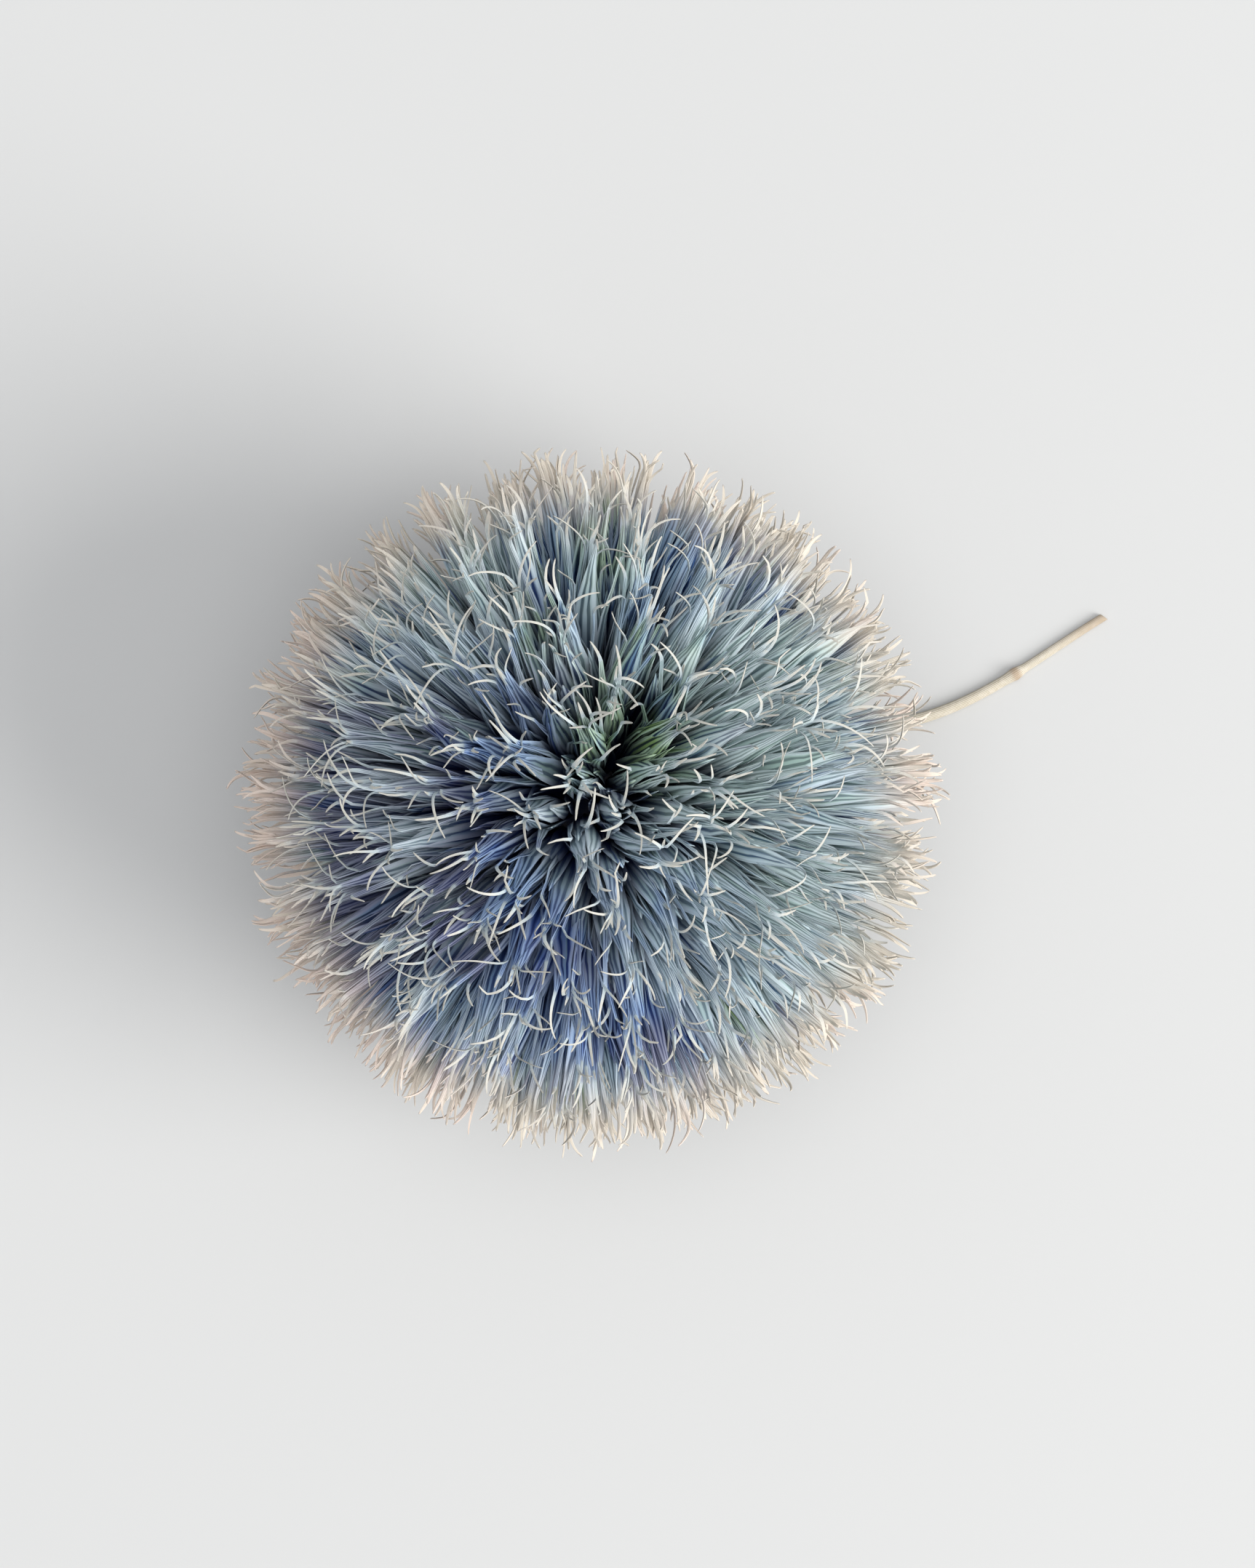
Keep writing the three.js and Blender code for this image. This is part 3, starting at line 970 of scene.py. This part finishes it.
class ThistleMiddleWhorl(ThistleWhorl, bpy.types.PropertyGroup):
    """Long bracts that end in awns."""

    pale: share(*WhorlWords.PALE, 0.15)
    pale_varies: share(*WhorlWords.PALE_VARIES, 0.3)
    reach: length(*WhorlWords.REACH, 20.1)
    reach_varies: length(*WhorlWords.REACH_VARIES, 0.6)
    belly_out: length(*WhorlWords.BELLY_OUT, 0.75)
    tip_out: length(*WhorlWords.TIP_OUT, 0.32)
    half_width: length(*WhorlWords.HALF_WIDTH, 0.76)
    half_depth: length(*WhorlWords.HALF_DEPTH, 0.18)
    widest: share(*WhorlWords.WIDEST, 1.05)
    awn_steps: count(*WhorlWords.AWN_STEPS, 9)
    awn_length: length(*WhorlWords.AWN_LENGTH, 3.0)
    awn_varies: share(*WhorlWords.AWN_VARIES, 0.3)
    awn_lean: angle(*WhorlWords.AWN_LEAN, 1.05)
    awn_bend: angle(*WhorlWords.AWN_BEND, 1.2)


class ThistleInnerWhorl(ThistleWhorl, bpy.types.PropertyGroup):
    """Slender bracts that close the floret."""

    per_floret: count("Bracts", "Bracts in the whorl of one floret", 3)
    reach: length(*WhorlWords.REACH, 20.3)
    reach_varies: length(*WhorlWords.REACH_VARIES, 0.5)
    belly_out: length(*WhorlWords.BELLY_OUT, 0.4)
    tip_out: length(*WhorlWords.TIP_OUT, 0.2)
    half_width: length(*WhorlWords.HALF_WIDTH, 0.45)
    half_depth: length(*WhorlWords.HALF_DEPTH, 0.18)
    awn_steps: count(*WhorlWords.AWN_STEPS, 4)
    awn_length: length(*WhorlWords.AWN_LENGTH, 1.5)
    awn_varies: share(*WhorlWords.AWN_VARIES, 0.35)
    awn_lean: angle(*WhorlWords.AWN_LEAN, 0.9)
    awn_bend: angle(*WhorlWords.AWN_BEND, 0.8)


class ThistleColours(bpy.types.PropertyGroup):
    """Colours of the bracts, awns, stem and floor."""

    # Painted shade, for the furrows, the bracts low between the florets and the receptacle
    deep: colour("Deep", "Furrows, and bracts low between the florets", 4, 20, 52)
    # Painted shade where the bracts are bluest
    blue_gap_shade: colour("Deep blue", "The same where the bracts are bluest", 6, 28, 84)
    blue: colour("Blue", "Bluer bracts", 44, 98, 172)
    grey: colour("Grey", "Greyer bracts", 104, 144, 176)
    green: colour("Green", "Greenest bracts", 120, 150, 58)
    # Pale green, and light pale below, also paint light on the right side as well as a paler hue
    pale_green: colour("Pale green", "Palest green bracts", 186, 212, 208)
    strong_blue: colour("Strong blue", "Bluest bracts", 34, 84, 170)
    # Violet, and light violet below, also paint shade on the left side as well as a violet hue
    violet: colour("Violet", "Violet bracts", 78, 83, 122)
    pale: colour("Pale", "Ribs, margins and points", 190, 214, 234)
    light_green: colour("Light green", "Ribs and margins where the bracts are green", 190, 216, 190)
    light_blue: colour("Light blue", "Ribs and margins where the bracts are bluest", 164, 190, 226)
    light_violet: colour("Light violet", "Ribs and margins where the bracts are violet", 142, 147, 172)
    light_pale: colour("Light pale", "Ribs and margins where the bracts are palest", 226, 238, 244)
    # Cream tips at the head's sides, painted lighter to make up for less light from above
    tip: colour("Tip", "Ends of the bracts at the sides", 222, 212, 197)
    # Painted reflection of warm bounce light on the ends of the bracts
    warm_bounce_tip: colour("Rosy tip", "Ends of the bracts where they are rosy", 236, 214, 202)
    awn_start: colour("Awn start", "Awns where they leave the bract", 190, 202, 206)
    awn: colour("Awn", "Awns", 203, 201, 192)
    pith: colour("Pith", "Fibres of the receptacle", 92, 84, 66)
    stem: colour("Stem", "Felt on the stem", 208, 200, 186)
    stem_furrow: colour("Stem furrow", "Stem between the felt", 172, 162, 138)
    stem_end: colour("Stem end", "Joint and cut end", 150, 120, 92)
    floor: colour("Floor", "Surface under the head", 192, 192, 191)


class ThistleStage(bpy.types.PropertyGroup):
    """Camera and light."""

    height: length("Camera height", "Centre of the head to the camera", 260)
    camera_x: length("Camera X", "Camera to the right of the head's centre", 2.42)
    camera_y: length("Camera Y", "Camera above the head's centre in its frame", 1.13)
    key: spot("Key light", "Place of the light from the side", 1080, -320, 820)
    key_power: power("Key power", "Power of the light from the side", 21.5)
    fill: spot("Fill light", "Place of the light from above", 0, 0, 1300)
    fill_power: power("Fill power", "Power of the light from above", 8.0)
    light_width: length("Light width", "Width of both lights", 1000)
    around: share("Light around", "Strength of the light from all sides", 0.56)


# ---------------- pieces

def finish_piece(piece, material, slot, *nodes):
    piece.data.materials.append(material)
    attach(piece, "root")
    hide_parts(*nodes)


def add_whorl(name, whorl, first_draw):
    """Grows one whorl as one piece, in the material that all whorls share."""
    scene = bpy.context.scene
    piece = grow_whorl(name, scene.thistle_head, whorl, first_draw)
    bracts = bpy.data.materials.get("Dry bracts") or bract_material(scene.thistle_colours)
    finish_piece(piece, bracts, "bracts", "flower_head")


class THISTLE_OT_outer_whorl(bpy.types.Operator):
    """Short pointed bracts round each floret"""

    bl_idname = "thistle.outer_whorl"
    bl_label = "Outer whorl"

    def execute(self, context):
        add_whorl("outer_bracts", context.scene.thistle_outer, first_draw=100)
        return {"FINISHED"}


class THISTLE_OT_tip_whorl(bpy.types.Operator):
    """Slender bracts with long pale points"""

    bl_idname = "thistle.tip_whorl"
    bl_label = "Pointed whorl"

    def execute(self, context):
        add_whorl("pointed_bracts", context.scene.thistle_tips, first_draw=400)
        return {"FINISHED"}


class THISTLE_OT_middle_whorl(bpy.types.Operator):
    """Long bracts that end in pale awns"""

    bl_idname = "thistle.middle_whorl"
    bl_label = "Middle whorl and awns"

    def execute(self, context):
        add_whorl("awned_bracts", context.scene.thistle_middle, first_draw=200)
        return {"FINISHED"}


class THISTLE_OT_inner_whorl(bpy.types.Operator):
    """Slender bracts that close each floret"""

    bl_idname = "thistle.inner_whorl"
    bl_label = "Inner whorl"

    def execute(self, context):
        add_whorl("inner_bracts", context.scene.thistle_inner, first_draw=300)
        return {"FINISHED"}


class THISTLE_OT_receptacle(bpy.types.Operator):
    """The ball that the florets grow from"""

    bl_idname = "thistle.receptacle"
    bl_label = "Receptacle"

    def execute(self, context):
        head = context.scene.thistle_head
        spacing = floret_spacing(head)
        bm = bmesh.new()
        bmesh.ops.create_icosphere(bm, subdivisions=6, radius=1)
        out = unit(np.array([vert.co for vert in bm.verts]))
        nearest = np.arccos(np.clip((out @ floret_axes(head)[1].T).max(axis=1), -1, 1))
        sunk = 1 - smooth(PIT_FLOOR * spacing, PIT_RIM * spacing, nearest)
        for vert, direction, high in zip(bm.verts, out, head.pith - head.pit * sunk):
            vert.co = CENTRE + direction * high
        for face in bm.faces:
            face.smooth = True
        piece = new_piece("receptacle", bm)
        finish_piece(piece, pith_material(context.scene.thistle_colours), "bracts", "flower_head")
        return {"FINISHED"}


def stem_path():
    """Points down the middle of the stem: through the florets, down to the surface and along it."""
    level = np.array((math.cos(STEM_AZIMUTH), math.sin(STEM_AZIMUTH), 0.0))
    start = CENTRE + STEM_AXIS * STEM_START
    bend = CENTRE + STEM_AXIS * STEM_STRAIGHT_TO
    corner = CENTRE + STEM_AXIS * (CENTRE[2] - STEM_TOP_RADIUS) / math.sin(STEM_DROOP)
    down = corner + level * np.linalg.norm(corner - bend)
    end = np.array((*STEM_END, STEM_CUT_RADIUS))
    third = np.linalg.norm(end - down) / 3
    last = np.array((math.cos(STEM_END_HEADING), math.sin(STEM_END_HEADING), 0.0))
    curves = (
        [start, bend],
        [bend, corner, down],
        [down, down + level * third, end - last * third, end],
    )
    steps = range(STEM_CURVE_STEPS)
    fine = np.array([bezier(curve, k / STEM_CURVE_STEPS) for curve in curves for k in steps] + [end])
    gone = np.concatenate(([0], np.cumsum(np.linalg.norm(np.diff(fine, axis=0), axis=1))))
    wanted = np.linspace(0, gone[-1], STEM_RINGS)
    return np.stack([np.interp(wanted, gone, fine[:, k]) for k in range(3)], axis=1)


def stem_radius(shares):
    """The stem's radius at shares of its length: it tapers, swells at its joint and is thinner past it."""
    joint = np.exp(-(((shares - STEM_JOINT_AT) / STEM_JOINT_LENGTH) ** 2))
    taper = STEM_TOP_RADIUS + (STEM_CUT_RADIUS - STEM_TOP_RADIUS) * shares
    past_joint = smooth(STEM_JOINT_AT, STEM_JOINT_AT + STEM_THINNER_OVER, shares)
    return taper * (1 - STEM_THINNER_BY * past_joint) + STEM_JOINT_SWELL * joint


class THISTLE_OT_stem(bpy.types.Operator):
    """The thin cut stem with its joint"""

    bl_idname = "thistle.stem"
    bl_label = "Stem"

    def execute(self, context):
        path = stem_path()
        shares = np.linspace(0, 1, STEM_RINGS)
        radius = stem_radius(shares)
        path[:, 2] = radius + np.maximum(path[:, 2] - STEM_TOP_RADIUS, 0)
        piece = blade_copies("stem_skin", STEM_SIDES, list(shares), 1, cut_across)
        bend_along(piece, 1, path[None], np.array((0.0, 1.0, 0.0)), radius[None], radius[None])
        finish_piece(piece, stem_material(context.scene.thistle_colours), "stem", "stem")
        return {"FINISHED"}


# ---------------- stage

FLOOR_HALF_WIDTH = 2.0
SENSOR_HEIGHT = 36
FOCAL_PIXELS = 5525
FRAME_PIXELS = 2156
KEY_TONE = (1.0, 0.99, 0.97)
FILL_TONE = (0.97, 0.98, 1.0)
AROUND_TONE = (0.95, 0.97, 1.0)


def add_camera(stage):
    """A camera that looks straight down on the head."""
    scene = bpy.context.scene
    camera = bpy.data.cameras.new("Camera")
    camera.sensor_width = SENSOR_HEIGHT
    camera.lens = SENSOR_HEIGHT * FOCAL_PIXELS / FRAME_PIXELS
    camera.clip_start = 10 * MM
    holder = bpy.data.objects.new("Camera", camera)
    holder.location = (stage.camera_x, stage.camera_y, CENTRE[2] + stage.height)
    scene.collection.objects.link(holder)
    scene.camera = holder


def add_light(name, place, wide, watts, tone):
    """A round light that faces the head."""
    light = bpy.data.lights.new(name, "AREA")
    light.shape = "DISK"
    light.size = wide
    light.energy = watts
    light.color = tone
    holder = bpy.data.objects.new(name, light)
    holder.location = place
    holder.rotation_euler = (Vector(CENTRE) - Vector(place)).to_track_quat("-Z", "Y").to_euler()
    bpy.context.scene.collection.objects.link(holder)


class THISTLE_OT_stage(bpy.types.Operator):
    """Camera, soft light and a plain pale floor"""

    bl_idname = "thistle.stage"
    bl_label = "Stage"

    def execute(self, context):
        scene = context.scene
        stage = scene.thistle_stage
        bm = bmesh.new()
        bmesh.ops.create_grid(bm, x_segments=1, y_segments=1, size=FLOOR_HALF_WIDTH)
        floor = new_piece("floor", bm)
        floor.data.materials.append(floor_material(scene.thistle_colours))
        add_camera(stage)
        add_light("Key", stage.key, stage.light_width, stage.key_power, KEY_TONE)
        add_light("Fill", stage.fill, stage.light_width, stage.fill_power, FILL_TONE)
        world = bpy.data.worlds.new("Studio")
        world.use_nodes = True
        background = world.node_tree.nodes["Background"]
        background.inputs["Color"].default_value = (*AROUND_TONE, 1)
        background.inputs["Strength"].default_value = stage.around
        scene.world = world
        scene.view_settings.view_transform = "Standard"
        return {"FINISHED"}


class THISTLE_PT_panel(bpy.types.Panel):
    """Buttons and settings for the thistle head"""

    bl_idname = "THISTLE_PT_panel"
    bl_label = "Globe Thistle Head"
    bl_space_type = "VIEW_3D"
    bl_region_type = "UI"
    bl_category = "Thistle"

    def draw(self, context):
        for operator in OPERATORS:
            self.layout.operator(operator.bl_idname)
        for name, group in SETTINGS.items():
            box = self.layout.box()
            box.label(text=group.__doc__)
            values = getattr(context.scene, name)
            for setting in values.bl_rna.properties.keys():
                if setting not in ("rna_type", "name"):
                    box.prop(values, setting)


SETTINGS = {
    "thistle_head": ThistleHead,
    "thistle_outer": ThistleOuterWhorl,
    "thistle_tips": ThistleTipWhorl,
    "thistle_middle": ThistleMiddleWhorl,
    "thistle_inner": ThistleInnerWhorl,
    "thistle_colours": ThistleColours,
    "thistle_stage": ThistleStage,
}
OPERATORS = (
    THISTLE_OT_stage,
    THISTLE_OT_receptacle,
    THISTLE_OT_outer_whorl,
    THISTLE_OT_tip_whorl,
    THISTLE_OT_middle_whorl,
    THISTLE_OT_inner_whorl,
    THISTLE_OT_stem,
)


def register():
    for name, group in SETTINGS.items():
        bpy.utils.register_class(group)
        setattr(bpy.types.Scene, name, PointerProperty(type=group))
    for operator in OPERATORS:
        bpy.utils.register_class(operator)
    bpy.utils.register_class(THISTLE_PT_panel)


def unregister():
    bpy.utils.unregister_class(THISTLE_PT_panel)
    for operator in reversed(OPERATORS):
        bpy.utils.unregister_class(operator)
    for name, group in reversed(SETTINGS.items()):
        delattr(bpy.types.Scene, name)
        bpy.utils.unregister_class(group)


def main():
    register()
    bpy.ops.thistle.stage()
    bpy.ops.thistle.receptacle()
    bpy.ops.thistle.outer_whorl()
    bpy.ops.thistle.tip_whorl()
    bpy.ops.thistle.middle_whorl()
    bpy.ops.thistle.inner_whorl()
    bpy.ops.thistle.stem()


if __name__ == "__main__":
    main()
